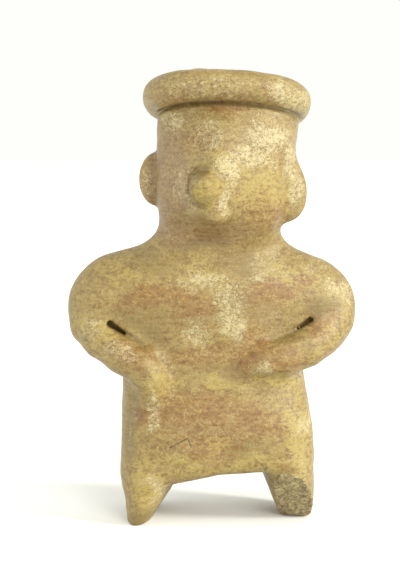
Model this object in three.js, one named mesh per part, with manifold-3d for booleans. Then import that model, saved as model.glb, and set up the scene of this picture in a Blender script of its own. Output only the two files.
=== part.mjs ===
// A standing pottery figure with a coil headband, hands on its belly and one broken foot.
// Millimetres, +Z up. The origin is on the ground below the middle, the figure faces -Y,
// and +X is the viewer's right, which is the figure's own left.
// The form is a distance field: rounded parts joined by soft blends, as clay is joined wet.
// A net of quads is laid over the field, pulled onto its surface and split where it bends.

import * as THREE from "three";
import { mergeVertices } from "three/addons/utils/BufferGeometryUtils.js";
import Module from "manifold-3d";

// Driving dimensions of the whole figure.
const HEIGHT = 278;
const ELBOW_SPAN = 180;
const BODY_WIDTH = 120;
const BODY_DEPTH = 73;
const HEAD_WIDTH = 85;
const HEAD_DEPTH = 70;
const BAND_WIDTH = 102;
const BAND_DEPTH = 92;
const BAND_THICKNESS = 20.4;
const HEM_HEIGHT = 32;

// Mesh: the cell of the first net, and how far the middle of an edge may lie off the surface.
const CELL = 6.6;
const CHORD_ERROR = 0.34;
const SHORTEST_SPLIT = 3.2;
const SPLIT_ROUNDS = 3;

const CLAY = new THREE.MeshStandardMaterial({ color: 0xb08e58, roughness: 0.62, metalness: 0 });

const point = (x, y, z) => new THREE.Vector3(x, y, z);

// The turn from the part's frame into a tilted piece's own frame, from angles in degrees.
function intoFrame(yaw, pitch, roll) {
  const radians = THREE.MathUtils.degToRad;
  const euler = new THREE.Euler(radians(pitch), radians(roll), radians(yaw), "ZXY");
  return new THREE.Quaternion().setFromEuler(euler).invert();
}

// Body: one row for each height from under the hem to inside the head, BODY_STEP apart.
// Each row holds middle x, middle y, half width, half depth and squareness.
const BODY_FIRST = 20;
const BODY_STEP = 20;
const BODY_ROWS = [
  [4.8, 3.0, 0.49 * BODY_WIDTH, 0.45 * BODY_DEPTH, 3.3],
  [4.7, 3.0, 0.5 * BODY_WIDTH, 0.49 * BODY_DEPTH, 3.3],
  [4.0, 3.0, 0.497 * BODY_WIDTH, 0.5 * BODY_DEPTH, 3.1],
  [2.4, 4.0, 0.477 * BODY_WIDTH, 0.466 * BODY_DEPTH, 2.9],
  [0.6, 4.0, 0.462 * BODY_WIDTH, 0.438 * BODY_DEPTH, 2.6],
  [0.0, 4.0, 0.454 * BODY_WIDTH, 0.445 * BODY_DEPTH, 2.5],
  [0.2, 4.5, 0.442 * BODY_WIDTH, 0.445 * BODY_DEPTH, 2.4],
  [1.4, 5.0, 0.362 * BODY_WIDTH, 0.39 * BODY_DEPTH, 2.3],
  [5.2, 0.8, 0.302 * BODY_WIDTH, 0.315 * BODY_DEPTH, 2.2],
  [6.0, -2.0, 0.27 * BODY_WIDTH, 0.26 * BODY_DEPTH, 2.2],
];
const BODY_TOP = 205;

// Head: rows along its own axis, measured from its centre, in the same order as the body's.
const HEAD_CENTRE = point(8, -5, 216);
const HEAD_TURN = intoFrame(-9, -11, 3.5);
const HEAD_FIRST = -52;
const HEAD_STEP = 15;
const HEAD_ROWS = [
  [0, 2, 0.306 * HEAD_WIDTH, 0.229 * HEAD_DEPTH, 2.2],
  [0, 1, 0.418 * HEAD_WIDTH, 0.379 * HEAD_DEPTH, 2.2],
  [0, 0, 0.456 * HEAD_WIDTH, 0.45 * HEAD_DEPTH, 2.3],
  [0, 0, 0.473 * HEAD_WIDTH, 0.493 * HEAD_DEPTH, 2.4],
  [0, 0, 0.486 * HEAD_WIDTH, 0.504 * HEAD_DEPTH, 2.4],
  [0, 0, 0.501 * HEAD_WIDTH, 0.504 * HEAD_DEPTH, 2.4],
  [0, 0, 0.501 * HEAD_WIDTH, 0.486 * HEAD_DEPTH, 2.4],
];
const CHIN_DEPTH = 48;
const HEAD_TOP = 47;
const CROWN = { centre: point(8, 2, HEIGHT - 36), radii: point(37, 32, 29) };
const CROWN_LUMP = { centre: point(-7, 9, HEIGHT - 15), radii: point(18, 16, 15) };

// Nose, in the head's own frame: a low swelling, a thin bridge, a hooked tip and a small ridge.
const NOSE_SWELLING = { centre: point(-3, -30, -3), radii: point(12, 8.5, 23) };
const NOSE_TIP = { centre: point(-4.5, -39.5, -12), radii: point(9.5, 7.5, 10.5) };
const NOSE_BRIDGE = [
  [-3, -34.5, 14, 3.6],
  [-4.5, -38.5, 2, 5],
];
const NOSE_RIDGE = [
  [-2, -35.5, -20, 3.5],
  [0.5, -33.5, -26, 2.5],
];

const EARS = [
  { centre: point(-33, 2, 210.5), radii: point(11.3, 6, 17.5), turn: intoFrame(20, 0, 0) },
  { centre: point(47, -2, 206), radii: point(12, 6.5, 19.5), turn: intoFrame(-25, 0, -6) },
];

// Headband: a coil of clay laid round the head, lower at the back.
const BAND_CENTRE = point(9.7, -2, HEIGHT - 20.8);
const BAND_TURN = intoFrame(0, -14.5, 2.2);
const BAND_SQUARENESS = 2.6;
const BAND_STRETCH = 1.1;

// Arms, the viewer's left first: a round shoulder, then a forearm whose points hold x, y, z
// and radius, the line of the crease above it, and the round ends of the slit at its elbow.
const SHOULDER_RADIUS = 36.3;
const ARMS = [
  {
    shoulder: { centre: point(-52.3, 4, 131.5), radii: point(SHOULDER_RADIUS, 25, 34.6) },
    forearm: [
      [-76.5, -5, 119.8, 9],
      [-66.8, -12, 111.9, 9.3],
      [-53.7, -19, 104.4, 9],
      [-42.6, -23.5, 98.8, 8.8],
      [-37.2, -25, 91.7, 8.3],
      [-36, -24, 83.5, 6.5],
    ],
    crease: [
      [-63.1, 125.4],
      [-51.5, 116.1],
      [-39.4, 106.9],
      [-32.2, 100.5],
      [-27, 97.2],
    ],
    slit: { wide: [-61.4, 124.6], wideRadius: 2.5, narrow: [-54, 117.8], narrowRadius: 1.2 },
  },
  {
    shoulder: { centre: point(53.6, 4, 130), radii: point(SHOULDER_RADIUS, 25, 34.4) },
    forearm: [
      [77.1, -5, 122.9, 9.2],
      [67.5, -11, 115.1, 10],
      [57.4, -16.5, 109.8, 10.2],
      [44.4, -22, 104.6, 9.6],
      [32.2, -24.5, 101.4, 8],
      [22.5, -24.5, 99.5, 6],
    ],
    crease: [
      [61.7, 127.2],
      [53.7, 121.9],
      [46.4, 118.2],
      [35.5, 113.3],
    ],
    slit: { wide: [60.6, 126.3], wideRadius: 2.1, narrow: [53.4, 121.4], narrowRadius: 1 },
  },
];
const CREASE_DEPTH = 1.9;
const CREASE_WIDTH = 1.8;
const SLIT_FLOOR = -8;

// Legs: rows from below the ground up into the body, LEG_STEP apart, and how far each splays.
const LEG_FIRST = -8;
const LEG_STEP = 12;
const LEG_TOP = 50;
const LEG_BOTTOM = -10;
const LEGS = [
  {
    splay: 0.1,
    rows: [
      [-42.8, 0, 6.3, 22, 2.1],
      [-42.6, 0.5, 11.6, 29, 2.1],
      [-40.8, 1, 14.6, 31, 2.2],
      [-38.5, 2, 16.6, 32.5, 2.3],
      [-36, 3, 17, 31, 2.4],
      [-34, 3, 15, 24, 2.4],
    ],
  },
  {
    splay: -0.06,
    rows: [
      [51.5, 0, 5.5, 22, 2.1],
      [52.2, 0.5, 11.5, 28.5, 2.1],
      [51, 1, 13.6, 30.5, 2.2],
      [48.4, 2, 16.2, 32, 2.3],
      [46, 3, 17, 31, 2.4],
      [44, 3, 15, 24, 2.4],
    ],
  },
];

// Break: the plane along which the front of one foot is gone, and where it ends inwards.
const BREAK_POINT = point(52, -0.5, 0.5);
const BREAK_NORMAL = point(-0.15, -0.7, -0.68).normalize();
const BREAK_INNER_X = 37;

// The lower of two distances, with a fillet about k wide where they meet.
function blend(a, b, k) {
  const h = Math.max(k - Math.abs(a - b), 0) / k;
  return Math.min(a, b) - (h * h * k) / 4;
}

// The part of a that is also inside b, with its edge rounded over about k.
function trim(a, b, k) {
  return -blend(-a, -b, k);
}

function easeBetween(value, low, high) {
  return THREE.MathUtils.smoothstep(value, low, high);
}

function ellipsoid(p, { centre, radii, turn }) {
  const q = p.clone().sub(centre);
  if (turn) q.applyQuaternion(turn);
  const near = q.clone().divide(radii);
  const slope = near.clone().divide(radii).length() + 1e-9;
  const reach = near.length();
  return (reach * (reach - 1)) / slope;
}

// A rod with round ends, from a to b, each given as x, y, z and radius.
function rod(p, a, b) {
  const start = point(...a);
  const axis = point(...b).sub(start);
  const q = p.clone().sub(start);
  const t = THREE.MathUtils.clamp(q.dot(axis) / axis.lengthSq(), 0, 1);
  return q.addScaledVector(axis, -t).length() - THREE.MathUtils.lerp(a[3], b[3], t);
}

function limb(p, points, softness) {
  let d = rod(p, points[0], points[1]);
  for (let i = 1; i < points.length - 1; i++) d = blend(d, rod(p, points[i], points[i + 1]), softness);
  return d;
}

// Values at a height, from rows an even step apart, along a uniform cubic B-spline.
function rowAt(rows, first, step, height) {
  const u = THREE.MathUtils.clamp((height - first) / step, 0, rows.length - 1);
  const i = Math.min(Math.floor(u), rows.length - 2);
  const f = u - i;
  const weights = [
    (1 - f) ** 3 / 6,
    (3 * f ** 3 - 6 * f ** 2 + 4) / 6,
    (-3 * f ** 3 + 3 * f ** 2 + 3 * f + 1) / 6,
    f ** 3 / 6,
  ];
  const rowOf = (k) => rows[THREE.MathUtils.clamp(i + k - 1, 0, rows.length - 1)];
  return rows[0].map((_, column) => weights.reduce((sum, w, k) => sum + w * rowOf(k)[column], 0));
}

// Distance, to first order, from a superellipse with half axes a and b.
function superellipse(x, y, a, b, squareness) {
  const u = Math.abs(x) / a;
  const v = Math.abs(y) / b;
  const k = (u ** squareness + v ** squareness + 1e-12) ** (1 / squareness);
  const slopeX = (u / k) ** (squareness - 1) / a;
  const slopeY = (v / k) ** (squareness - 1) / b;
  return (k - 1) / (Math.hypot(slopeX, slopeY) + 1e-9);
}

function stacked(q, rows, first, step, splay = 0) {
  const [x, y, halfWidth, halfDepth, squareness] = rowAt(rows, first, step, q.z);
  return superellipse(q.x - x - splay * q.y, q.y - y, halfWidth, halfDepth, squareness);
}

// The hem hangs lower towards the viewer's left.
function hemHeight(x) {
  return HEM_HEIGHT + 0.04 * x - 0.0088 * Math.min(x - 5, 0) ** 2;
}

function body(p) {
  const trunk = stacked(p, BODY_ROWS, BODY_FIRST, BODY_STEP);
  const hemmed = trim(trunk, hemHeight(p.x) - p.z, 10);
  return trim(hemmed, p.z - BODY_TOP, 6);
}

// A leg runs on a little below the ground, where it is cut off flat later.
function leg(p, { rows, splay }) {
  const post = stacked(p, rows, LEG_FIRST, LEG_STEP, splay);
  return trim(trim(post, p.z - LEG_TOP, 6), LEG_BOTTOM - p.z, 2);
}

function nose(q, face) {
  let d = blend(face, ellipsoid(q, NOSE_SWELLING), 18);
  d = blend(d, rod(q, ...NOSE_BRIDGE), 8);
  d = blend(d, rod(q, ...NOSE_RIDGE), 8);
  return blend(d, ellipsoid(q, NOSE_TIP), 5);
}

function head(p) {
  const q = p.clone().sub(HEAD_CENTRE).applyQuaternion(HEAD_TURN);
  let d = stacked(q, HEAD_ROWS, HEAD_FIRST, HEAD_STEP);
  d = trim(d, -(q.z + CHIN_DEPTH), 30);
  d = trim(d, q.z - HEAD_TOP, 10);
  d = blend(d, ellipsoid(p, CROWN), 6);
  d = blend(d, ellipsoid(p, CROWN_LUMP), 12);
  return nose(q, d);
}

function headband(p) {
  const q = p.clone().sub(BAND_CENTRE).applyQuaternion(BAND_TURN);
  const halfWidth = (BAND_WIDTH - BAND_THICKNESS) / 2;
  const halfDepth = (BAND_DEPTH - BAND_THICKNESS) / 2;
  const across = superellipse(q.x, q.y, halfWidth, halfDepth, BAND_SQUARENESS);
  return Math.hypot(across, q.z / BAND_STRETCH) - BAND_THICKNESS / 2;
}

// How deep the crease above a forearm bites, strongest at the elbow end.
function creaseDepth(p, line) {
  let nearest = Infinity;
  let along = 0;
  for (let i = 0; i < line.length - 1; i++) {
    const [ax, az] = line[i];
    const [ex, ez] = [line[i + 1][0] - ax, line[i + 1][1] - az];
    const t = THREE.MathUtils.clamp(((p.x - ax) * ex + (p.z - az) * ez) / (ex * ex + ez * ez), 0, 1);
    const distance = Math.hypot(p.x - ax - t * ex, p.z - az - t * ez);
    if (distance < nearest) {
      nearest = distance;
      along = (i + t) / (line.length - 1);
    }
  }
  const facing = easeBetween(-p.y, 0, 8);
  return facing * CREASE_DEPTH * (1 - 0.58 * along) * Math.exp(-((nearest / CREASE_WIDTH) ** 2));
}

function figure(p) {
  let d = body(p);
  const shoulderBlend = 5 + 19 * easeBetween(p.z, 95, 165);
  for (const { shoulder } of ARMS) d = blend(d, ellipsoid(p, shoulder), shoulderBlend);
  for (const { forearm } of ARMS) d = blend(d, limb(p, forearm, 8), 11);
  for (const one of LEGS) d = blend(d, leg(p, one), 8);
  d = blend(d, head(p), 16);
  for (const ear of EARS) d = blend(d, ellipsoid(p, ear), 4.5);
  d = blend(d, headband(p), 3);
  for (const { crease } of ARMS) d += creaseDepth(p, crease);
  return d;
}

// The field's slope at p, by differences across a small step.
function slopeAt(field, p, step = 0.3) {
  const slope = point(0, 0, 0);
  for (const axis of ["x", "y", "z"]) {
    const ahead = p.clone();
    const behind = p.clone();
    ahead[axis] += step;
    behind[axis] -= step;
    slope[axis] = (field(ahead) - field(behind)) / (2 * step);
  }
  return slope;
}

function pullOntoSurface(field, p, longestMove) {
  for (let round = 0; round < 3; round++) {
    const slope = slopeAt(field, p);
    const move = -field(p) / Math.max(slope.lengthSq(), 0.05);
    p.addScaledVector(slope, THREE.MathUtils.clamp(move, -longestMove, longestMove));
  }
}

// A closed net of quads round the places where the field is negative.
function netAround(field, low, high, cell) {
  const size = high.clone().sub(low).divideScalar(cell).ceil().addScalar(1);
  const [nx, ny, nz] = [size.x, size.y, size.z];
  const corner = (i, j, k) => (k * ny + j) * nx + i;
  const at = (i, j, k) => point(i, j, k).multiplyScalar(cell).add(low);
  const values = new Float64Array(nx * ny * nz);
  for (let k = 0; k < nz; k++)
    for (let j = 0; j < ny; j++) for (let i = 0; i < nx; i++) values[corner(i, j, k)] = field(at(i, j, k));

  const corners = [0, 1, 2, 3, 4, 5, 6, 7].map((n) => [n & 1, (n >> 1) & 1, (n >> 2) & 1]);
  const edges = corners.flatMap((a, m) =>
    [1, 2, 4].filter((bit) => !(m & bit)).map((bit) => [a, corners[m | bit]]),
  );
  const points = [];
  const pointOf = new Map();
  for (let k = 0; k < nz - 1; k++)
    for (let j = 0; j < ny - 1; j++)
      for (let i = 0; i < nx - 1; i++) {
        const middle = point(0, 0, 0);
        let crossings = 0;
        for (const [a, b] of edges) {
          const va = values[corner(i + a[0], j + a[1], k + a[2])];
          const vb = values[corner(i + b[0], j + b[1], k + b[2])];
          if (va < 0 === vb < 0) continue;
          const start = at(i + a[0], j + a[1], k + a[2]);
          middle.add(start.lerp(at(i + b[0], j + b[1], k + b[2]), va / (va - vb)));
          crossings++;
        }
        if (!crossings) continue;
        pointOf.set(corner(i, j, k), points.length);
        points.push(middle.divideScalar(crossings));
      }

  const triangles = [];
  const unit = [
    [1, 0, 0],
    [0, 1, 0],
    [0, 0, 1],
  ];
  for (let k = 1; k < nz - 1; k++)
    for (let j = 1; j < ny - 1; j++)
      for (let i = 1; i < nx - 1; i++)
        for (let axis = 0; axis < 3; axis++) {
          const [ex, ey, ez] = unit[axis];
          const inside = values[corner(i, j, k)] < 0;
          if (inside === values[corner(i + ex, j + ey, k + ez)] < 0) continue;
          const [bx, by, bz] = unit[(axis + 1) % 3];
          const [cx, cy, cz] = unit[(axis + 2) % 3];
          const ring = [
            corner(i, j, k),
            corner(i - bx, j - by, k - bz),
            corner(i - bx - cx, j - by - cy, k - bz - cz),
            corner(i - cx, j - cy, k - cz),
          ].map((key) => pointOf.get(key));
          if (!inside) ring.reverse();
          const [a, b, c, d] = ring;
          const first = points[a].distanceTo(points[c]) < points[b].distanceTo(points[d]);
          if (first) triangles.push([a, b, c], [a, c, d]);
          else triangles.push([b, c, d], [b, d, a]);
        }
  return { points, triangles };
}

// Evens the net out along the surface, so that no triangle is much thinner than the rest.
function evenOut(field, { points, triangles }, rounds) {
  const neighbours = points.map(() => new Set());
  for (const [a, b, c] of triangles) {
    neighbours[a].add(b).add(c);
    neighbours[b].add(a).add(c);
    neighbours[c].add(a).add(b);
  }
  for (let round = 0; round < rounds; round++) {
    const middles = neighbours.map((set) => {
      const middle = point(0, 0, 0);
      for (const n of set) middle.add(points[n]);
      return middle.divideScalar(set.size);
    });
    points.forEach((p, i) => {
      p.lerp(middles[i], 0.5);
      pullOntoSurface(field, p, CELL / 4);
    });
  }
}

// Splits the edges whose middle lies too far off the surface, longest first, once per triangle.
function splitWhereBent(field, { points, triangles }) {
  const sidesOf = new Map();
  triangles.forEach((triangle, t) => {
    for (let i = 0; i < 3; i++) {
      const ends = [triangle[i], triangle[(i + 1) % 3]].sort((a, b) => a - b);
      const key = ends.join();
      if (!sidesOf.has(key)) sidesOf.set(key, { ends, sides: [] });
      sidesOf.get(key).sides.push(t);
    }
  });
  const bent = [];
  for (const { ends, sides } of sidesOf.values()) {
    const [start, end] = ends.map((v) => points[v]);
    const length = start.distanceTo(end);
    const middle = start.clone().lerp(end, 0.5);
    if (length < SHORTEST_SPLIT || Math.abs(field(middle)) < CHORD_ERROR) continue;
    bent.push({ ends, sides, length, middle });
  }
  bent.sort((one, other) => other.length - one.length);
  const touched = new Set();
  for (const { ends, sides, middle } of bent) {
    if (sides.some((t) => touched.has(t))) continue;
    pullOntoSurface(field, middle, CELL / 4);
    const added = points.push(middle) - 1;
    for (const t of sides) {
      const old = triangles[t];
      triangles[t] = old.map((v) => (v === ends[0] ? added : v));
      triangles.push(old.map((v) => (v === ends[1] ? added : v)));
      touched.add(t);
    }
  }
}

function geometryOf(positions, index) {
  const geometry = new THREE.BufferGeometry();
  geometry.setAttribute("position", new THREE.Float32BufferAttribute(positions, 3));
  geometry.setIndex(index);
  return geometry;
}

const wasm = await Module();
wasm.setup();

function solidOf(geometry) {
  const bare = geometry.clone();
  for (const name of Object.keys(bare.attributes)) if (name !== "position") bare.deleteAttribute(name);
  const merged = mergeVertices(bare, 1e-4);
  const vertProperties = new Float32Array(merged.attributes.position.array);
  return new wasm.Manifold(new wasm.Mesh({ numProp: 3, vertProperties, triVerts: new Uint32Array(merged.index.array) }));
}

function geometryFrom(solid) {
  const { vertProperties, triVerts } = solid.getMesh();
  const geometry = geometryOf(Array.from(vertProperties), Array.from(triVerts));
  geometry.computeVertexNormals();
  return geometry;
}

// Moves the middle of the figure's box over the origin.
function centred(geometry) {
  geometry.computeBoundingBox();
  const middle = geometry.boundingBox.getCenter(point(0, 0, 0));
  return geometry.translate(-middle.x, -middle.y, 0);
}

// The ground, which cuts both feet off flat at z = 0.
function ground() {
  const depth = 40;
  return new THREE.BoxGeometry(2 * ELBOW_SPAN, 2 * ELBOW_SPAN, depth).translate(0, 0, -depth / 2);
}

// A block that fills the lost front of the foot, with one face along the break.
function lostToe() {
  const size = 80;
  const block = new THREE.BoxGeometry(size, size, size).translate(size / 2, 0, size / 2);
  const sideways = point(1, 0, 0).addScaledVector(BREAK_NORMAL, -BREAK_NORMAL.x).normalize();
  const along = BREAK_NORMAL.clone().cross(sideways);
  block.applyMatrix4(new THREE.Matrix4().makeBasis(sideways, along, BREAK_NORMAL));
  const shift = BREAK_POINT.clone().addScaledVector(sideways, (BREAK_INNER_X - BREAK_POINT.x) / sideways.x);
  return block.translate(shift.x, shift.y, shift.z);
}

// A drop-shaped tool that sinks the slit at an elbow, from the front down to SLIT_FLOOR.
function slitTool({ wide, wideRadius, narrow, narrowRadius }) {
  const angle = Math.atan2(narrow[1] - wide[1], narrow[0] - wide[0]);
  const shape = new THREE.Shape();
  shape.absarc(wide[0], wide[1], wideRadius, angle + Math.PI / 2, angle + 1.5 * Math.PI, false);
  shape.absarc(narrow[0], narrow[1], narrowRadius, angle - Math.PI / 2, angle + Math.PI / 2, false);
  const settings = { depth: 60, bevelEnabled: false, curveSegments: 5, steps: 1 };
  return new THREE.ExtrudeGeometry(shape, settings).rotateX(Math.PI / 2).translate(0, SLIT_FLOOR, 0);
}

function pottery() {
  const low = point(-ELBOW_SPAN / 2 - 15, -60, -20);
  const high = point(ELBOW_SPAN / 2 + 15, 60, HEIGHT + 15);
  const net = netAround(figure, low, high, CELL);
  evenOut(figure, net, 4);
  for (let round = 0; round < SPLIT_ROUNDS; round++) {
    splitWhereBent(figure, net);
    evenOut(figure, net, 2);
  }
  const whole = solidOf(geometryOf(net.points.flatMap((p) => p.toArray()), net.triangles.flat()));
  const tools = [ground(), lostToe(), ...ARMS.map(({ slit }) => slitTool(slit))];
  const cut = tools.reduce((solid, tool) => solid.subtract(solidOf(tool)), whole);
  return centred(geometryFrom(cut));
}

const part = new THREE.Group();
const figureMesh = new THREE.Mesh(pottery(), CLAY);
figureMesh.name = "pottery_figure";
part.add(figureMesh);

export default part;
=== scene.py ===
# Fine model and looks of a standing pottery figure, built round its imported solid.
# The form is worked out in millimetres in the figure's own frame, with the ground at z = 0,
# and is moved onto the solid in metres at the end. The figure faces -Y, and +X is the
# viewer's right.

from math import radians

import bpy
import numpy as np
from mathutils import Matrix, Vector, noise


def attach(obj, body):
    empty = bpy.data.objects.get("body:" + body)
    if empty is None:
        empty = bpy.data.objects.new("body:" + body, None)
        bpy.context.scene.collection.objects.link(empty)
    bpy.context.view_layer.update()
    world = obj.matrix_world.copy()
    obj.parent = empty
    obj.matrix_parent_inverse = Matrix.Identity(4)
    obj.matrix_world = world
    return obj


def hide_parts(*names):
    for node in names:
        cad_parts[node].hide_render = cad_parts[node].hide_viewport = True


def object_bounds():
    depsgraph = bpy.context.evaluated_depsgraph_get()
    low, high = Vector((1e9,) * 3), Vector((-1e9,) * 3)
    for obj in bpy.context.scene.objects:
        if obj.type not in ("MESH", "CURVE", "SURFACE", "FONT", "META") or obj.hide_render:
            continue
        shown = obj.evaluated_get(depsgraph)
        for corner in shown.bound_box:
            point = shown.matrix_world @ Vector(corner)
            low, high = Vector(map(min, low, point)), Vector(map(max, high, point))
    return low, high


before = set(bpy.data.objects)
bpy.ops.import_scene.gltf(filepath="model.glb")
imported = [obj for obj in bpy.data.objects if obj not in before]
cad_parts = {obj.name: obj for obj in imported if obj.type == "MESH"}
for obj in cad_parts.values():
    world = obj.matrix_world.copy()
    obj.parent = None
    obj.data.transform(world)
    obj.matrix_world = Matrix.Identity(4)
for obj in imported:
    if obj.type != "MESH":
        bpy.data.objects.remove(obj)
cad_low, cad_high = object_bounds()

MILLIMETRE = 0.001

# Driving dimensions, the same as the solid's.
HEIGHT = 278
BODY_WIDTH = 120
BODY_DEPTH = 73
HEAD_WIDTH = 85
HEAD_DEPTH = 70
BAND_WIDTH = 102
BAND_DEPTH = 85
BAND_THICKNESS = 20.4
HEM_HEIGHT = 31.2

# Mesh: the cell of the net, and the longest edges on plain clay, in detail and along a scratch.
CELL = 1.55
PLAIN_EDGE = 2.4
DETAIL_EDGE = 1.05
SCRATCH_EDGE = 0.55


def turn_of(yaw, pitch, roll):
    """The matrix that turns a tilted piece's own axes into the figure's, angles in degrees."""
    y, p, r = np.radians([yaw, pitch, roll])
    about_z = np.array([[np.cos(y), -np.sin(y), 0], [np.sin(y), np.cos(y), 0], [0, 0, 1]])
    about_x = np.array([[1, 0, 0], [0, np.cos(p), -np.sin(p)], [0, np.sin(p), np.cos(p)]])
    about_y = np.array([[np.cos(r), 0, np.sin(r)], [0, 1, 0], [-np.sin(r), 0, np.cos(r)]])
    return about_z @ about_x @ about_y


# Body: one row for each height from under the hem to inside the head, BODY_STEP apart.
# Each row holds middle x, middle y, half width, half depth and squareness.
BODY_FIRST = 20
BODY_STEP = 20
BODY_ROWS = [
    (4.8, 3.0, 0.49 * BODY_WIDTH, 0.45 * BODY_DEPTH, 3.3),
    (4.7, 3.0, 0.5 * BODY_WIDTH, 0.49 * BODY_DEPTH, 3.3),
    (4.0, 3.0, 0.497 * BODY_WIDTH, 0.5 * BODY_DEPTH, 3.1),
    (2.4, 4.0, 0.477 * BODY_WIDTH, 0.466 * BODY_DEPTH, 2.9),
    (0.6, 4.0, 0.462 * BODY_WIDTH, 0.438 * BODY_DEPTH, 2.6),
    (0.0, 4.0, 0.454 * BODY_WIDTH, 0.445 * BODY_DEPTH, 2.5),
    (0.2, 4.5, 0.442 * BODY_WIDTH, 0.445 * BODY_DEPTH, 2.4),
    (1.4, 5.0, 0.362 * BODY_WIDTH, 0.39 * BODY_DEPTH, 2.3),
    (5.2, 0.8, 0.302 * BODY_WIDTH, 0.315 * BODY_DEPTH, 2.2),
    (6.0, -2.0, 0.27 * BODY_WIDTH, 0.26 * BODY_DEPTH, 2.2),
]
BODY_TOP = 205

# Head: rows along its own axis, measured from its centre, in the same order as the body's.
HEAD_CENTRE = (8, -5, 216)
HEAD_TURN = turn_of(-9, -11, 3.5)
HEAD_FIRST = -52
HEAD_STEP = 15
HEAD_ROWS = [
    (0, 2, 0.306 * HEAD_WIDTH, 0.229 * HEAD_DEPTH, 2.2),
    (0, 1, 0.418 * HEAD_WIDTH, 0.379 * HEAD_DEPTH, 2.2),
    (0, 0, 0.456 * HEAD_WIDTH, 0.45 * HEAD_DEPTH, 2.3),
    (0, 0, 0.473 * HEAD_WIDTH, 0.493 * HEAD_DEPTH, 2.4),
    (0, 0, 0.486 * HEAD_WIDTH, 0.504 * HEAD_DEPTH, 2.4),
    (0, 0, 0.501 * HEAD_WIDTH, 0.504 * HEAD_DEPTH, 2.4),
    (0, 0, 0.501 * HEAD_WIDTH, 0.486 * HEAD_DEPTH, 2.4),
]
CHIN_DEPTH = 48
HEAD_TOP = 47
CROWN = {"centre": (8, 2, HEIGHT - 36), "radii": (37, 32, 29)}
CROWN_LUMP = {"centre": (-7, 9, HEIGHT - 15), "radii": (18, 16, 15)}

# Nose, in the head's own frame: a low swelling, a thin bridge, a hooked tip and a small ridge.
NOSE_SWELLING = {"centre": (-1, -30, -8), "radii": (12, 8.5, 24)}
NOSE_TIP = {"centre": (-4, -40.5, -16), "radii": (9.8, 8.5, 9.6)}
NOSE_BRIDGE = [(4, -31.5, 18, 5.5), (1.5, -36.5, -3, 6.5)]
NOSE_RIDGE = [(-1, -35, -25, 2.8), (3, -33, -31, 2)]
NOSE_NOTCH = {"centre": (-7, -47, -5.5), "radii": (5.5, 6, 3.2)}
NOSE_CREASE = [(-9, -5), (-13.6, -9), (-14.2, -17), (-11.5, -24), (-4, -27.5)]
NOSE_CREASE_DEPTH = 1.5
NOSE_CREASE_WIDTH = 1.5

EARS = [
    {"centre": (-33, 1, 210.7), "radii": (11.3, 6, 16.3), "turn": turn_of(20, 0, 0)},
    {"centre": (46.5, -6, 205), "radii": (12, 7, 19.2), "turn": turn_of(-14, 0, -6)},
]
EAR_BLENDS = (4, 8)

# Headband: a coil of clay laid round the head, lower at the back, with a gap under its front.
BAND_CENTRE = (9.7, -1, HEIGHT - 20)
BAND_TURN = turn_of(0, -14.5, 2.8)
BAND_SQUARENESS = 2.6
BAND_STRETCH = 0.97
BAND_FRONT_RISE = 1.2
BAND_FRONT_REACH = 24
BAND_GAP_DEPTH = 1.5
BAND_GAP_WIDTH = 1.7

# Arms, the viewer's left first: a round shoulder, then a forearm whose points hold x, y, z
# and radius, the line of the crease above it, and the round ends of the slit at its elbow.
SHOULDER_RADIUS = 36.3
ARMS = [
    {
        "shoulder": {"centre": (-52.3, 4, 131.5), "radii": (SHOULDER_RADIUS, 25, 34.6)},
        "forearm": [
            (-76.5, -6, 119.8, 9),
            (-66, -14.5, 113.1, 10.2),
            (-52.9, -21.5, 105.6, 10.2),
            (-41.6, -25.5, 100.2, 9.8),
            (-36.8, -26.5, 92.4, 8.8),
            (-36, -24, 83.5, 6.5),
        ],
        "crease": [(-61, 124), (-51.3, 117.6), (-41.1, 110.8), (-31, 103), (-26, 96.6)],
        "slit": ((-61, 123.9, 2.0), (-52.4, 118, 0.6)),
    },
    {
        "shoulder": {"centre": (53.6, 4, 130), "radii": (SHOULDER_RADIUS, 25, 34.4)},
        "forearm": [
            (77.1, -6, 122.9, 9.2),
            (67.5, -12, 115.1, 10.4),
            (57.4, -17.5, 109.8, 10.8),
            (44.4, -22.5, 104.6, 10),
            (32.2, -25, 101.4, 8),
            (22.5, -25.5, 99.5, 6),
        ],
        "crease": [(60.3, 126.4), (52.8, 121.4), (46, 118.6), (35.5, 114)],
        "slit": ((60.3, 126.4, 1.3), (52.8, 121.4, 0.5)),
    },
]
ARM_BLEND = 7
CREASE_DEPTH = 1.8
CREASE_WIDTH = 2.0
SLIT_DEPTH = 5.5
UNDER_ARM = [(56, 100), (48, 97), (38, 94.4), (28, 93)]
UNDER_ARM_DEPTH = 0.6

# Legs: rows from below the ground up into the body, LEG_STEP apart, and how far each splays.
LEG_FIRST = -8
LEG_STEP = 12
LEG_TOP = 50
LEG_BOTTOM = -10
LEGS = [
    {
        "splay": 0.1,
        "rows": [
            (-45, 0, 4.6, 23, 2.1),
            (-42.7, 0.5, 9.3, 28, 2.1),
            (-38.8, 1, 13.7, 31, 2.2),
            (-36.9, 2, 18.5, 32.5, 2.3),
            (-36, 3, 18.5, 31, 2.4),
            (-34, 3, 15, 24, 2.4),
        ],
    },
    {
        "splay": -0.06,
        "rows": [
            (52.5, 0, 4, 22, 2.1),
            (52.6, 0.5, 10.8, 28.5, 2.1),
            (51, 1, 13.6, 30.5, 2.2),
            (48.4, 2, 16.2, 32, 2.3),
            (46, 3, 17, 31, 2.4),
            (44, 3, 15, 24, 2.4),
        ],
    },
]

# Break: the plane along which the front of one foot is gone, and where it ends inwards.
BREAK_POINT = np.array((52, -5.5, 0.5))
BREAK_NORMAL = np.array((-0.15, -0.76, -0.6))
BREAK_NORMAL = BREAK_NORMAL / np.linalg.norm(BREAK_NORMAL)
BREAK_INNER_X = 33
BREAK_ROUNDING = 3.5

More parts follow.
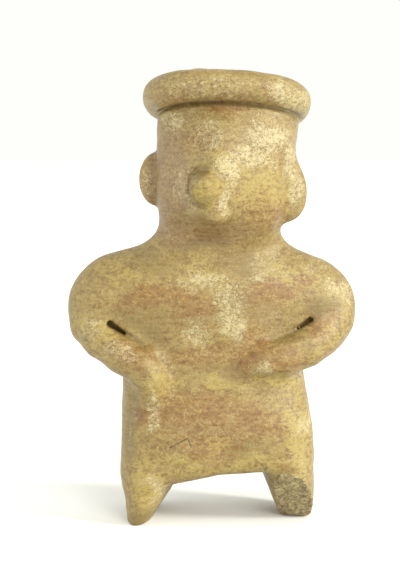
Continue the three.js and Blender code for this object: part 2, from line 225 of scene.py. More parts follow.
# Scratches cut into the fired clay, as x and z of the points along them.
SCRATCHES = [
    [(-25, 50), (-14.2, 56.2), (-12.2, 51)],
]
SCRATCH_DEPTH = 0.55
SCRATCH_WIDTH = 0.5


def blend(a, b, k):
    """The lower of two distances, with a fillet about k wide where they meet."""
    h = np.maximum(k - np.abs(a - b), 0) / k
    return np.minimum(a, b) - h * h * k / 4


def trim(a, b, k):
    """The part of a that is also inside b, with its edge rounded over about k."""
    return -blend(-a, -b, k)


def ease(value, low, high):
    t = np.clip((value - low) / (high - low), 0, 1)
    return t * t * (3 - 2 * t)


def ellipsoid(p, centre, radii, turn=None):
    q = p - np.array(centre)
    if turn is not None:
        q = q @ turn
    near = q / np.array(radii)
    slope = np.linalg.norm(near / np.array(radii), axis=1) + 1e-9
    reach = np.linalg.norm(near, axis=1)
    return reach * (reach - 1) / slope


def rod(p, a, b):
    """A rod with round ends, from a to b, each given as x, y, z and radius."""
    a, b = np.array(a, float), np.array(b, float)
    axis = b[:3] - a[:3]
    q = p - a[:3]
    t = np.clip(q @ axis / (axis @ axis), 0, 1)
    return np.linalg.norm(q - t[:, None] * axis, axis=1) - (a[3] + t * (b[3] - a[3]))


def limb(p, points, softness):
    d = rod(p, points[0], points[1])
    for a, b in zip(points[1:], points[2:]):
        d = blend(d, rod(p, a, b), softness)
    return d


def row_at(rows, first, step, height):
    """Values at a height, from rows an even step apart, along a uniform cubic B-spline."""
    rows = np.array(rows, float)
    u = np.clip((height - first) / step, 0, len(rows) - 1)
    i = np.minimum(u.astype(int), len(rows) - 2)
    f = u - i
    weights = (
        (1 - f) ** 3 / 6,
        (3 * f**3 - 6 * f**2 + 4) / 6,
        (-3 * f**3 + 3 * f**2 + 3 * f + 1) / 6,
        f**3 / 6,
    )
    places = (np.clip(i + k - 1, 0, len(rows) - 1) for k in range(4))
    return sum(w[:, None] * rows[place] for w, place in zip(weights, places)).T


def superellipse(x, y, a, b, squareness):
    """Distance, to first order, from a superellipse with half axes a and b."""
    u, v = np.abs(x) / a, np.abs(y) / b
    k = (u**squareness + v**squareness + 1e-12) ** (1 / squareness)
    slope_x = (u / k) ** (squareness - 1) / a
    slope_y = (v / k) ** (squareness - 1) / b
    return (k - 1) / (np.hypot(slope_x, slope_y) + 1e-9)


def stacked(q, rows, first, step, splay=0.0):
    x, y, half_width, half_depth, squareness = row_at(rows, first, step, q[:, 2])
    return superellipse(q[:, 0] - x - splay * q[:, 1], q[:, 1] - y, half_width, half_depth, squareness)


def hem_height(x):
    """The hem hangs lower towards the viewer's left."""
    return HEM_HEIGHT + 0.04 * x + 0.18 * np.minimum(x - 5, 0)


def body(p):
    trunk = stacked(p, BODY_ROWS, BODY_FIRST, BODY_STEP)
    hemmed = trim(trunk, hem_height(p[:, 0]) - p[:, 2], 10)
    return trim(hemmed, p[:, 2] - BODY_TOP, 6)


def leg(p, rows, splay):
    post = stacked(p, rows, LEG_FIRST, LEG_STEP, splay)
    return trim(trim(post, p[:, 2] - LEG_TOP, 6), LEG_BOTTOM - p[:, 2], 2)


def nose(q, face):
    d = blend(face, ellipsoid(q, **NOSE_SWELLING), 18)
    d = blend(d, rod(q, *NOSE_BRIDGE), 9)
    d = blend(d, rod(q, *NOSE_RIDGE), 8)
    d = blend(d, ellipsoid(q, **NOSE_TIP), 3)
    distance, _ = line_distance(q, NOSE_CREASE)
    crease = ease(-q[:, 1], 20, 28) * np.exp(-((distance / NOSE_CREASE_WIDTH) ** 2))
    return trim(d + NOSE_CREASE_DEPTH * crease, -ellipsoid(q, **NOSE_NOTCH), 2)


def head(p):
    q = (p - np.array(HEAD_CENTRE)) @ HEAD_TURN
    d = stacked(q, HEAD_ROWS, HEAD_FIRST, HEAD_STEP)
    d = trim(d, -(q[:, 2] + CHIN_DEPTH), 30)
    d = trim(d, q[:, 2] - HEAD_TOP, 10)
    d = blend(d, ellipsoid(p, **CROWN), 6)
    d = blend(d, ellipsoid(p, **CROWN_LUMP), 12)
    return nose(q, d)


def headband(p):
    """Distance from the coil, and how high each point is on it."""
    q = (p - np.array(BAND_CENTRE)) @ BAND_TURN
    half_width = (BAND_WIDTH - BAND_THICKNESS) / 2
    half_depth = (BAND_DEPTH - BAND_THICKNESS) / 2
    across = superellipse(q[:, 0], q[:, 1], half_width, half_depth, BAND_SQUARENESS)
    front = np.exp(-((q[:, 0] / BAND_FRONT_REACH) ** 2)) * ease(-q[:, 1], 10, 30)
    up = q[:, 2] - BAND_FRONT_RISE * front
    return np.hypot(across, up / BAND_STRETCH) - BAND_THICKNESS / 2 + BAND_FRONT_RISE / 2 * front, q[:, 2]


def line_distance(p, line):
    """In the view from the front, how far each point is from a line, and how far along it."""
    nearest = np.full(len(p), np.inf)
    along = np.zeros(len(p))
    for i, (a, b) in enumerate(zip(line, line[1:])):
        start, step = np.array(a, float), np.subtract(b, a)
        q = p[:, [0, 2]] - start
        t = np.clip(q @ step / (step @ step), 0, 1)
        distance = np.linalg.norm(q - t[:, None] * step, axis=1)
        along = np.where(distance < nearest, (i + t) / (len(line) - 1), along)
        nearest = np.minimum(distance, nearest)
    return nearest, along


def crease_depth(p, line):
    """How deep the crease above a forearm bites, strongest at the elbow end."""
    distance, along = line_distance(p, line)
    facing = ease(-p[:, 1], 0, 8)
    return facing * CREASE_DEPTH * (1 - 0.58 * along) * np.exp(-((distance / CREASE_WIDTH) ** 2))


def slit(p, surface, wide, narrow):
    """The drop-shaped pocket at an elbow, SLIT_DEPTH deep under the surface."""
    distance, along = line_distance(p, [wide[:2], narrow[:2]])
    drop = distance - (wide[2] + along * (narrow[2] - wide[2]))
    return trim(np.maximum(drop, p[:, 1]), -surface - SLIT_DEPTH, 2)


def lost_toe(p):
    """Distance into the kept side of the break, negative where the toe is gone."""
    sideways = np.array((1, 0, 0)) - BREAK_NORMAL * BREAK_NORMAL[0]
    sideways = sideways / np.linalg.norm(sideways)
    inner = BREAK_POINT + sideways * (BREAK_INNER_X - BREAK_POINT[0]) / sideways[0]
    return -np.minimum((p - BREAK_POINT) @ BREAK_NORMAL, (p - inner) @ sideways)


def figure(p):
    d = body(p)
    shoulder_blend = 5 + 19 * ease(p[:, 2], 95, 165)
    for arm in ARMS:
        d = blend(d, ellipsoid(p, **arm["shoulder"]), shoulder_blend)
    for arm in ARMS:
        d = blend(d, limb(p, arm["forearm"], 8), ARM_BLEND)
    for one in LEGS:
        d = blend(d, leg(p, **one), 5)
    d = blend(d, head(p), 9)
    for ear, softness in zip(EARS, EAR_BLENDS):
        d = blend(d, ellipsoid(p, **ear), softness)
    band, band_height = headband(p)
    seam = np.exp(-(d**2 + band**2) / BAND_GAP_WIDTH**2) * ease(-band_height, 0, 4) * ease(-p[:, 1], 0, 20)
    d = blend(d, band, 1.6) + BAND_GAP_DEPTH * seam
    under, _ = line_distance(p, UNDER_ARM)
    d = d + UNDER_ARM_DEPTH * ease(-p[:, 1], 0, 8) * np.exp(-((under / CREASE_WIDTH) ** 2))
    for arm in ARMS:
        d = d + crease_depth(p, arm["crease"])
        d = trim(d, -slit(p, d, *arm["slit"]), 1.2)
    d = trim(d, -lost_toe(p), 0.8)
    return trim(d, -p[:, 2], 1.2 + (BREAK_ROUNDING - 1.2) * ease(p[:, 0], 10, 30))


def slope_at(p, step=0.15):
    """The field's slope, by differences across a small step."""
    shifts = np.eye(3) * step
    return np.stack([figure(p + s) - figure(p - s) for s in shifts], axis=1) / (2 * step)


def pull_onto_surface(p, rounds=2):
    for _ in range(rounds):
        slope = slope_at(p)
        move = -figure(p) / np.maximum((slope**2).sum(1), 0.05)
        p = p + slope * np.clip(move, -CELL / 2, CELL / 2)[:, None]
    return p


def sampled(low, counts):
    """The figure's distance at each corner of the grid, exact only near the surface."""
    block = 4
    blocks = -(-counts // block)
    centres = np.stack(np.meshgrid(*[np.arange(n) for n in blocks], indexing="ij"), -1).reshape(-1, 3)
    middle = low + CELL * block * (centres + 0.5)
    far = figure(middle)
    values = np.repeat(np.repeat(np.repeat(far.reshape(blocks), block, 0), block, 1), block, 2)
    near = np.abs(far) < 1.3 * CELL * block
    inner = np.stack(np.meshgrid(*[np.arange(block)] * 3, indexing="ij"), -1).reshape(-1, 3)
    corners = (centres[near][:, None] * block + inner).reshape(-1, 3)
    values[tuple(corners.T)] = figure(low + CELL * corners)
    return values


def net_around(low, high):
    """A closed net of triangles round the places where the figure's distance is negative."""
    counts = np.ceil((high - low) / CELL).astype(int) + 1
    values = sampled(low, counts)
    inside = values < 0
    shape = np.array(inside.shape) - 1
    filled = np.zeros(shape, int)
    offsets = [(i, j, k) for i in (0, 1) for j in (0, 1) for k in (0, 1)]
    for i, j, k in offsets:
        filled += inside[i : i + shape[0], j : j + shape[1], k : k + shape[2]]
    cells = np.argwhere((filled > 0) & (filled < 8))
    name_of = np.full(shape, -1)
    name_of[tuple(cells.T)] = np.arange(len(cells))

    total, count = np.zeros((len(cells), 3)), np.zeros(len(cells))
    units = np.eye(3, dtype=int)
    for offset in offsets:
        for axis in range(3):
            if offset[axis]:
                continue
            start = cells + offset
            a, b = values[tuple(start.T)], values[tuple((start + units[axis]).T)]
            crosses = (a < 0) != (b < 0)
            t = a / np.where(crosses, a - b, 1)
            total += np.where(crosses[:, None], start + t[:, None] * units[axis], 0)
            count += crosses
    points = low + CELL * total / count[:, None]

    quads = []
    for axis in range(3):
        ahead = np.roll(inside, -1, axis)
        crossings = np.argwhere(inside != ahead)
        fits = ((crossings > 0) & (crossings < shape)).all(1)
        crossings = crossings[fits]
        side, up = units[(axis + 1) % 3], units[(axis + 2) % 3]
        ring = [crossings, crossings - side, crossings - side - up, crossings - up]
        names = np.stack([name_of[tuple(c.T)] for c in ring], 1)
        outward = inside[tuple(crossings.T)]
        quads.append(np.where(outward[:, None], names, names[:, ::-1]))
    return points, halved(points, np.concatenate(quads))


def halved(points, quads):
    """Each quad as two triangles, cut along its shorter diagonal."""
    a, b, c, d = quads.T
    first = np.linalg.norm(points[a] - points[c], axis=1) < np.linalg.norm(points[b] - points[d], axis=1)
    one = np.where(first[:, None], np.stack([a, b, c], 1), np.stack([b, c, d], 1))
    other = np.where(first[:, None], np.stack([a, c, d], 1), np.stack([b, d, a], 1))
    return np.concatenate([one, other])


def edges_of(triangles):
    """Every edge once, and the numbers of each triangle's three edges."""
    ends = np.sort(triangles[:, [0, 1, 1, 2, 2, 0]].reshape(-1, 2), axis=1)
    edges, names = np.unique(ends, axis=0, return_inverse=True)
    return edges, names.reshape(-1, 3)


def even_out(points, triangles, rounds):
    """Moves each point along the surface towards the middle of its neighbours."""
    edges, _ = edges_of(triangles)
    here, there = np.concatenate([edges, edges[:, ::-1]]).T
    count = np.bincount(here, minlength=len(points))
    for _ in range(rounds):
        sums = [np.bincount(here, points[there, axis], len(points)) for axis in range(3)]
        middles = np.stack(sums, 1) / count[:, None]
        points = pull_onto_surface(points + 0.5 * (middles - points), 1)
    return points


def longest_edge(p):
    """The longest edge wanted at each point: short along scratches, the nose, slits and breaks."""
    wanted = np.full(len(p), PLAIN_EDGE)
    band, band_height = headband(p)
    under_band = (np.abs(band) < 3) & (band_height < 0) & (np.abs(head(p)) < 3)
    nose_place = (p - np.array(HEAD_CENTRE)) @ HEAD_TURN
    on_nose = ellipsoid(nose_place, (-4.5, -39, -8), (14, 14, 19)) < 0
    in_slits = np.minimum(*[line_distance(p, [end[:2] for end in arm["slit"]])[0] for arm in ARMS]) < 6
    on_break = np.abs(lost_toe(p)) < 3
    front = p[:, 1] < 8
    wanted[(under_band | on_nose | in_slits | on_break) & front] = DETAIL_EDGE
    for line in SCRATCHES:
        wanted[(line_distance(p, line)[0] < 1.6) & front] = SCRATCH_EDGE
    return wanted


def split_long(points, triangles, rounds):
    """Splits the edges that are too long and are the longest of both triangles beside them."""
    for _ in range(rounds):
        edges, names = edges_of(triangles)
        lengths = np.linalg.norm(points[edges[:, 0]] - points[edges[:, 1]], axis=1)
        middles = points[edges].mean(1)
        excess = lengths / longest_edge(middles)
        rank = np.empty(len(edges), int)
        rank[np.argsort(excess, kind="stable")] = np.arange(len(edges))
        longest = names[np.arange(len(names)), rank[names].argmax(1)]
        chosen = (np.bincount(longest, minlength=len(edges)) == 2) & (excess > 1)
        if not chosen.any():
            break
        added = np.full(len(edges), -1)
        added[chosen] = len(points) + np.arange(chosen.sum())
        points = np.concatenate([points, pull_onto_surface(middles[chosen])])
        split = chosen[longest]
        old, edge = triangles[split], longest[split]
        low, high, new = edges[edge, :1], edges[edge, 1:], added[edge][:, None]
        halves = [np.where(old == low, new, old), np.where(old == high, new, old)]
        triangles = np.concatenate([triangles[~split], *halves])
    return points, triangles


def clay_noise(points, size, octaves=2, seed=0):
    """Smooth noise of about -1 to 1, with lumps about size across, squeezed by size's parts."""
    scaled = points / np.broadcast_to(size, 3) + 37.7 * seed
    return np.array([noise.fractal(Vector(p), 1.0, 2.0, octaves) for p in scaled])


def scratch_bite(p):
    bites = [np.exp(-((line_distance(p, line)[0] / SCRATCH_WIDTH) ** 2)) for line in SCRATCHES]
    return np.maximum.reduce(bites) * (p[:, 1] < 0)


def worked_surface(points, normals, areas):
    """The points moved in and out as hand-worked clay, crust and broken clay are uneven."""
    grounded = ease(points[:, 2], 0, 3)
    lumps = 0.42 * clay_noise(points, 30, 2, 1) + 0.2 * clay_noise(points, 11, 2, 2)
    strokes = 0.09 * clay_noise(points, (16, 16, 3.2), 2, 3)
    crust = 0.55 * areas["crust"] * (clay_noise(points, 3.6, 3, 4) + 0.3)
    broken = 0.9 * areas["scar"] * clay_noise(points, 5.5, 4, 5)
    offset = grounded * (lumps + strokes + crust + broken) - SCRATCH_DEPTH * scratch_bite(points)
    return points + normals * offset[:, None]


# Areas of colour and crust seen from the front, with painted highlights among the pale ones and painted shade
# among the dark grime: x, z, half width, half height and strength.
FRONT_AREAS = {
    "slip": [
        (-28, 142, 24, 10, 1.0),
        (-12, 134, 16, 10, 0.9),
        (-58, 138, 14, 8, 0.5),
        (34, 146, 18, 10, 1.0),
        (54, 150, 12, 7, 0.7),
        (22, 108, 14, 15, 1.0),
        (42, 106, 20, 9, 0.85),
        (66, 124, 9, 9, 0.8),
        (-48, 107, 16, 8, 0.7),
        (-40, 72, 11, 9, 0.9),
        (-6, 74, 38, 14, 0.85),
        (26, 66, 24, 14, 0.75),
        (-2, 52, 34, 14, 0.6),
        (-6, 104, 26, 8, 0.7),
        (-20, 259, 14, 7, 0.7),
        (12, 256, 22, 8, 0.85),
        (38, 262, 8, 8, 0.7),
        (-6, 236, 12, 9, 0.75),
        (34, 190, 16, 14, 0.7),
        (6, 176, 34, 8, 0.6),
        (-18, 118, 18, 12, 0.4),
    ],
    "rose": [
        (-26, 214, 16, 30, 1.0),
        (-22, 184, 20, 12, 0.8),
        (4, 178, 30, 8, 0.6),
        (-24, 238, 12, 8, 0.6),
        (34, 238, 16, 10, 0.5),
        (44, 207, 6, 12, 0.4),
        (34, 130, 14, 10, 0.5),
        (4, 64, 40, 14, 0.4),
    ],
    # Pale areas: deposit and crust, with painted highlights on the right of the forehead, the flank right of the
    # nose, the band, the right shoulder, the toe at the viewer's left and the top edges of the forearms, and a
    # painted reflection on the flank left of the nose.
    "pale_and_highlight": [
        (34, 238, 14, 11, 1.0),
        (24, 224, 10, 8, 0.9),
        (-1, 238, 12, 9, 0.6),
        (-24, 247, 10, 5, 0.7),
        (12, 218, 8, 9, 1.0),
        (10, 200, 4, 14, 0.8),
        (-15, 206, 5, 18, 0.5),
        (47, 222, 7, 12, 0.8),
        (52, 206, 7, 14, 0.75),
        (-38, 210, 6, 14, 0.5),
        (2, 264, 44, 7, 0.4),
        (52, 260, 8, 9, 0.75),
        (42, 264, 8, 8, 0.8),
        (12, 140, 10, 14, 0.75),
        (13, 126, 8, 9, 1.0),
        (-4, 152, 16, 7, 0.7),
        (28, 158, 12, 6, 0.5),
        (-6, 118, 10, 12, 0.5),
        (-36, 74, 4, 16, 0.8),
        (-48, 62, 4, 24, 0.45),
        (-34, 22, 6, 10, 0.8),
        (80, 143, 8, 9, 0.7),
        (64, 158, 10, 6, 0.5),
        (57, 62, 5, 8, 0.7),
        (50, 96, 8, 6, 0.6),
        (32, 100, 8, 7, 0.6),
        (-56, 108, 14, 5, 0.5),
        (-70, 122, 8, 8, 0.5),
    ],
    "ochre": [
        (-33, 88, 11, 10, 1.0),
        (2, 90, 10, 4, 0.9),
        (3, 55, 8, 6, 0.9),
        (-66, 120, 16, 12, 0.7),
        (74, 128, 14, 24, 0.6),
        (54, 52, 10, 36, 0.8),
        (10, 38, 54, 7, 0.7),
        (-2, 206, 11, 10, 0.8),
        (32, 206, 18, 16, 0.9),
        (36, 160, 14, 8, 0.8),
        (-6, 156, 24, 7, 0.6),
        (2, 224, 12, 10, 0.7),
        (57, 264, 8, 12, 0.6),
        (-40, 24, 12, 22, 0.8),
        (49, 24, 8, 8, 0.6),
        (-40, 164, 22, 8, 0.5),
        (-60, 156, 20, 8, 0.5),
        (40, 90, 24, 5, 0.6),
    ],
    # Dark areas: grime, with painted shade on the flank at the viewer's left, under the chin, above the nose
    # tip, round the slits and under the forearms.
    "grime_and_shade": [
        (-48, 64, 6, 26, 0.9),
        (18, 48, 14, 8, 0.5),
        (-34, 162, 14, 6, 0.5),
        (-4, 172, 20, 5, 0.6),
        (66, 134, 9, 7, 0.9),
        (-44, 6, 10, 7, 0.8),
        (-44, 130, 22, 10, 0.45),
        (20, 164, 24, 7, 0.5),
        (-10, 126, 14, 10, 0.4),
        (-6, 217, 5, 5, 0.9),
        (-36, 118, 12, 10, 0.5),
        (20, 138, 10, 10, 0.45),
        (12, 96, 34, 5, 0.4),
        (44, 26, 12, 10, 0.5),
    ],
    "crust": [
        (-2, 207, 9, 9, 1.0),
        (12, 134, 9, 18, 0.7),
        (-33, 88, 10, 9, 0.6),
        (2, 90, 8, 3, 0.5),
        (-43, 4, 8, 6, 0.5),
        (2, 240, 18, 10, 0.4),
    ],
}


def painted_areas(points, normals):
    """How strongly each kind of area shows at each point, from 0 to 1."""
    front = ease(-normals[:, 1], -0.25, 0.35)
    warp_x = 6.5 * clay_noise(points, 22, 4, 11)
    warp_z = 6.5 * clay_noise(points, 22, 4, 12)
    areas = {}
    for number, (kind, patches) in enumerate(FRONT_AREAS.items()):
        strongest = np.zeros(len(points))
        for x, z, half_x, half_z, strength in patches:
            reach = np.hypot((points[:, 0] + warp_x - x) / half_x, (points[:, 2] + warp_z - z) / half_z)
            strongest = np.maximum(strongest, strength * (1 - ease(reach, 0.3, 1.5)))
        elsewhere = ease(clay_noise(points, 26, 3, 20 + number), 0.1, 0.75) * 0.6
        areas[kind] = front * strongest + (1 - front) * elsewhere
    areas["crust"] *= front
    kept_side = lost_toe(points)
    areas["scar"] = ease(-np.abs(kept_side), -1.2, -0.5) * ease(-normals[:, 1], 0.1, 0.5) * (points[:, 2] > 0.4)
    # Painted shade: the less open space round a point, the more its colour is darkened later, as in recesses and
    # between parts.
    out = points + 3.5 * normals
    areas["recess_shade"] = np.clip(1 - figure(out) / 3.5, 0, 1)
    areas["scratch"] = scratch_bite(points)
    return areas


def mesh_of(name, points, triangles):
    mesh = bpy.data.meshes.new(name)
    mesh.vertices.add(len(points))
    mesh.vertices.foreach_set("co", points.astype(np.float32).ravel())
    mesh.loops.add(triangles.size)
    mesh.loops.foreach_set("vertex_index", triangles.astype(np.int32).ravel())
    mesh.polygons.add(len(triangles))
    mesh.polygons.foreach_set("loop_start", np.arange(0, triangles.size, 3, dtype=np.int32))
    mesh.polygons.foreach_set("use_smooth", np.ones(len(triangles), bool))
    mesh.update(calc_edges=True)
    mesh.validate()
    return mesh


def pottery():
    """The figure's mesh, with its areas of colour as attributes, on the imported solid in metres."""
    points, triangles = net_around(np.array((-105.0, -66.0, -12.0)), np.array((105.0, 60.0, HEIGHT + 12.0)))
    points = even_out(pull_onto_surface(points), triangles, 2)
    points, triangles = split_long(points, triangles, 8)
    points = even_out(points, triangles, 2)
    slope = slope_at(points)
    normals = slope / np.linalg.norm(slope, axis=1)[:, None]
    areas = painted_areas(points, normals)
    middle = (points.min(0) + points.max(0)) / 2
    placed = worked_surface(points, normals, areas) - np.array((middle[0], middle[1], 0))
    cad_middle = np.array((cad_low + cad_high) / 2)
    shift = np.array((cad_middle[0], cad_middle[1], cad_low.z))
    mesh = mesh_of("pottery_figure_fine", placed * MILLIMETRE + shift, triangles)
    for kind, values in areas.items():
        attribute = mesh.attributes.new(kind, "FLOAT", "POINT")
        attribute.data.foreach_set("value", values.astype(np.float32))
    piece = bpy.data.objects.new("pottery_figure_fine", mesh)
    bpy.context.scene.collection.objects.link(piece)
    return piece


class Nodes:
    """Short calls for the nodes of one material, which all read the object's own coordinates."""

    def __init__(self, name):
        self.material = bpy.data.materials.new(name)
        self.material.use_nodes = True
        self.tree = self.material.node_tree
        self.tree.nodes.clear()
        place = self.add("ShaderNodeTexCoord")
        self.place = place.outputs["Object"]

    def add(self, kind, **settings):
        node = self.tree.nodes.new(kind)
        for name, value in settings.items():
            setattr(node, name, value)
        return node

    def feed(self, socket, value):
        if isinstance(value, bpy.types.NodeSocket):
            self.tree.links.new(value, socket)
        else:
            socket.default_value = value

    def math(self, operation, a, b=0.0, clamp=False):
        node = self.add("ShaderNodeMath", operation=operation, use_clamp=clamp)
        self.feed(node.inputs[0], a)
        self.feed(node.inputs[1], b)
        return node.outputs[0]

    def ease(self, value, low, high, start=0.0, end=1.0):
        """Value's place between low and high, eased at both ends, as start to end."""
        node = self.add("ShaderNodeMapRange", interpolation_type="SMOOTHSTEP")
        for socket, given in zip(node.inputs, (value, low, high, start, end)):
            self.feed(socket, given)
        return node.outputs[0]

    def area(self, kind):
        return self.add("ShaderNodeAttribute", attribute_name=kind).outputs["Fac"]

    def stretched(self, x, y, z):
        node = self.add("ShaderNodeVectorMath", operation="MULTIPLY")
        self.feed(node.inputs[0], self.place)
        node.inputs[1].default_value = (x, y, z)
        return node.outputs[0]

    def noise(self, size, detail=4.0, roughness=0.6, distortion=0.0, place=None):
        """Noise of 0 to 1 with lumps about size millimetres across."""
        node = self.add("ShaderNodeTexNoise")
        self.feed(node.inputs["Vector"], self.place if place is None else place)
        node.inputs["Scale"].default_value = 1 / (size * MILLIMETRE)
        node.inputs["Detail"].default_value = detail
        node.inputs["Roughness"].default_value = roughness
        node.inputs["Distortion"].default_value = distortion
        return node.outputs["Fac"]

    def cracks(self, size, width):
        """1 on the lines between cells about size millimetres across, 0 inside them."""
        node = self.add("ShaderNodeTexVoronoi", feature="DISTANCE_TO_EDGE")
        self.feed(node.inputs["Vector"], self.place)
        node.inputs["Scale"].default_value = 1 / (size * MILLIMETRE)
        return self.ease(node.outputs["Distance"], width, 0.0)

    def mix(self, amount, a, b, kind="MIX"):
        node = self.add("ShaderNodeMix", data_type="RGBA", blend_type=kind)
        self.feed(node.inputs["Factor"], amount)
        self.feed(node.inputs[6], a)
        self.feed(node.inputs[7], b)
        return node.outputs[2]

    def patch(self, kind, grain, threshold=0.5, softness=0.16, reach=0.9):
        """An area's mask with its edge broken up by a grain."""
        broken = self.math("MULTIPLY", self.math("SUBTRACT", grain, 0.5), reach)
        return self.ease(self.math("ADD", self.area(kind), broken), threshold - softness, threshold + softness)


def linear(red, green, blue):
    """The clay's own colour, given as it looks on screen in the studio's light, 0 to 255."""
    shares = np.array((red, green, blue)) / 255
    light = np.where(shares <= 0.04045, shares / 12.92, ((shares + 0.055) / 1.055) ** 2.4)
    return (*(light * REFLECTED), 1.0)


# The share of white paper's light in the studio that the front of the clay reflects.
REFLECTED = 0.6


def fired_clay():
    n = Nodes("fired_clay")
    flat = n.stretched(0.7, 0.7, 1.0)
    broad = n.ease(n.noise(22, 4, 0.6), 0.35, 0.65)
    mottle = n.ease(n.noise(6, 5, 0.75, 0.3, flat), 0.38, 0.62)
    grain = n.ease(n.noise(2.4, 5, 0.8, 0.3, flat), 0.42, 0.58)
    fine = n.ease(n.noise(1.3, 3, 0.8), 0.4, 0.6)
    strokes = n.ease(n.noise(2.2, 5, 0.65, 0.2, n.stretched(0.14, 0.14, 1.0)), 0.38, 0.62)
    veins = n.ease(n.math("ABSOLUTE", n.math("SUBTRACT", n.noise(3.4, 4, 0.7, 0.6), 0.5)), 0.045, 0.0)
    edge = n.math("ADD", n.math("MULTIPLY", mottle, 0.35), n.math("MULTIPLY", grain, 0.65))

    colour = n.mix(broad, linear(136, 106, 54), linear(154, 124, 64))
    colour = n.mix(n.math("MULTIPLY", edge, 0.75), colour, linear(192, 166, 96))
    rose = n.patch("rose", edge, 0.5, 0.4, 0.4)
    rose_tone = n.mix(edge, linear(142, 108, 72), linear(170, 138, 100))
    colour = n.mix(n.math("MULTIPLY", rose, 0.8), colour, rose_tone)
    ochre = n.patch("ochre", edge, 0.6, 0.4, 0.8)
    colour = n.mix(n.math("MULTIPLY", ochre, 0.75), colour, linear(196, 172, 92))
    slip = n.patch("slip", n.math("SUBTRACT", 1.0, edge), 0.6, 0.45, 0.6)
    slip_tone = n.mix(edge, linear(134, 90, 38), linear(172, 122, 58))
    colour = n.mix(n.math("MULTIPLY", slip, 0.85), colour, slip_tone)

    net = n.math("MAXIMUM", n.math("MULTIPLY", veins, 0.9), n.ease(n.noise(2.0, 5, 0.85, 0.5, flat), 0.42, 0.62))
    crazed = n.math("SUBTRACT", 1.0, n.math("MULTIPLY", n.cracks(3.4, 0.1), n.area("crust")))
    # The pale areas, deposit with painted highlights and sheen, lighten the colour.
    pale_and_highlight = n.math("MULTIPLY", n.patch("pale_and_highlight", net, 0.75, 0.3, 1.1), crazed)
    colour = n.mix(n.math("MULTIPLY", pale_and_highlight, 0.85), colour, linear(232, 217, 168))
    flecks = n.math("MULTIPLY", n.ease(n.noise(1.6, 4, 0.85), 0.53, 0.6), n.ease(mottle, 0.1, 0.9, 0.3, 1.0))
    colour = n.mix(n.math("MULTIPLY", flecks, 0.6), colour, linear(216, 194, 128))

    # The dark areas, grime with painted shade, darken the colour.
    grime_and_shade = n.patch("grime_and_shade", edge, 0.6, 0.4, 0.8)
    # Painted shade in recesses, together with the grime and its painted shade, darkens the colour.
    recess_shade = n.ease(n.area("recess_shade"), 0.2, 0.75)
    grime_and_recess_shade = n.math("MAXIMUM", n.math("MULTIPLY", grime_and_shade, 0.5), n.math("MULTIPLY", recess_shade, 0.35))
    colour = n.mix(grime_and_recess_shade, colour, linear(100, 82, 48))
    specks = n.ease(n.noise(1.8, 3, 0.8), 0.43, 0.35)
    colour = n.mix(n.math("MULTIPLY", specks, 0.6), colour, linear(104, 78, 40))

    scar = n.ease(n.area("scar"), 0.25, 0.6)
    chipped = n.ease(n.noise(3.2, 6, 0.9, 0.5), 0.4, 0.6)
    scar_tone = n.mix(chipped, linear(108, 88, 50), linear(214, 194, 140))
    colour = n.mix(scar, colour, scar_tone)
    scratch = n.ease(n.area("scratch"), 0.35, 0.85)
    colour = n.mix(n.math("MULTIPLY", scratch, 0.8), colour, linear(92, 74, 44))
    colour = n.mix(n.math("MULTIPLY", strokes, 0.12), colour, linear(220, 202, 150))

    crust = n.math("MAXIMUM", n.area("crust"), scar)
    roughness = n.math("ADD", n.ease(mottle, 0.0, 1.0, 0.34, 0.48), n.math("MULTIPLY", pale_and_highlight, 0.15))
    roughness = n.math("ADD", roughness, n.math("MULTIPLY", crust, 0.3), clamp=True)

    relief = n.math("ADD", n.math("MULTIPLY", grain, 0.3), n.math("MULTIPLY", fine, 0.2))
    relief = n.math("ADD", relief, n.math("MULTIPLY", strokes, 0.15))
    relief = n.math("ADD", relief, n.math("MULTIPLY", pale_and_highlight, 0.3))
    relief = n.math("SUBTRACT", relief, n.math("MULTIPLY", specks, 0.4))
    rough_relief = n.math("MULTIPLY", n.math("MULTIPLY", grain, crust), 0.9)
    bump = n.add("ShaderNodeBump")
    n.feed(bump.inputs["Height"], n.math("ADD", relief, rough_relief))
    bump.inputs["Strength"].default_value = 0.55
    bump.inputs["Distance"].default_value = 0.3 * MILLIMETRE

    shader = n.add("ShaderNodeBsdfPrincipled")
    n.feed(shader.inputs["Base Color"], colour)
    n.feed(shader.inputs["Roughness"], roughness)
    n.feed(shader.inputs["Normal"], bump.outputs["Normal"])
    shader.inputs["Specular IOR Level"].default_value = 0.4
    output = n.add("ShaderNodeOutputMaterial")
    n.feed(output.inputs["Surface"], shader.outputs["BSDF"])
    return n.material


def pale_paper():
    n = Nodes("pale_paper")
    shader = n.add("ShaderNodeBsdfPrincipled")
    tone = n.mix(n.noise(300, 2, 0.5), (0.86, 0.865, 0.84, 1), (0.88, 0.885, 0.86, 1))
    n.feed(shader.inputs["Base Color"], tone)
    shader.inputs["Roughness"].default_value = 0.9
    output = n.add("ShaderNodeOutputMaterial")
    n.feed(output.inputs["Surface"], shader.outputs["BSDF"])
    return n.material


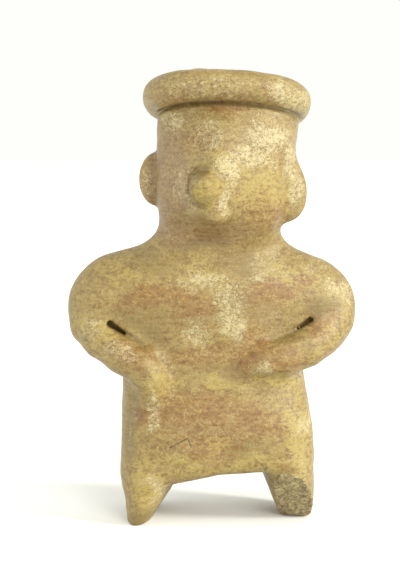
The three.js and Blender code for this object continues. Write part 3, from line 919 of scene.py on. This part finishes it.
def studio_floor():
    """A wide pale floor under the figure."""
    reach = 6.0
    mesh = bpy.data.meshes.new("studio_floor")
    corners = [(-reach, -reach, 0), (reach, -reach, 0), (reach, reach, 0), (-reach, reach, 0)]
    mesh.from_pydata(corners, [], [(0, 1, 2, 3)])
    mesh.materials.append(pale_paper())
    floor = bpy.data.objects.new("studio_floor", mesh)
    floor.location.z = cad_low.z
    bpy.context.scene.collection.objects.link(floor)


def sun_light(name, direction, spread, strength, colour):
    """A soft distant light from a direction, which spreads over an angle in degrees."""
    data = bpy.data.lights.new(name, "SUN")
    data.angle = radians(spread)
    data.energy = strength
    data.color = colour
    light = bpy.data.objects.new(name, data)
    light.rotation_euler = Vector(direction).to_track_quat("Z", "Y").to_euler()
    bpy.context.scene.collection.objects.link(light)


def studio_light():
    """A side light and a softer front light on the viewer's right, a weak one on the left."""
    sun_light("side", (0.86, -0.32, 0.4), 12, 3.0, (1.0, 0.99, 0.965))
    sun_light("front", (0.38, -0.82, 0.43), 30, 1.5, (1.0, 0.99, 0.965))
    sun_light("left", (-0.9, -0.2, 0.35), 60, 0.9, (0.98, 1.0, 0.98))
    world = bpy.data.worlds.new("studio")
    world.use_nodes = True
    background = world.node_tree.nodes["Background"]
    background.inputs["Color"].default_value = (0.99, 1.0, 0.955, 1)
    background.inputs["Strength"].default_value = 1.0
    bpy.context.scene.world = world
    bpy.context.scene.view_settings.view_transform = "Standard"


# Camera, from the photograph's framing: the eye in the figure's own frame, how far it looks
# down, and the focal length in pixels of the photograph's long side.
EYE = (-7.2, -895.3, 255)
LOOK_DOWN = 6.9
FOCAL_PIXELS = 1472
LONG_SIDE_PIXELS = 569


def photo_camera():
    data = bpy.data.cameras.new("camera")
    data.sensor_width = 36
    data.lens = data.sensor_width * FOCAL_PIXELS / LONG_SIDE_PIXELS
    data.clip_start = 0.01
    camera = bpy.data.objects.new("camera", data)
    camera.location = Vector(EYE) * MILLIMETRE
    camera.rotation_euler = (radians(90 - LOOK_DOWN), 0, 0)
    bpy.context.scene.collection.objects.link(camera)
    bpy.context.scene.camera = camera


photo_camera()
studio_light()
studio_floor()
figure_piece = pottery()
figure_piece.data.materials.append(fired_clay())
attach(figure_piece, "root")
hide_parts("pottery_figure")
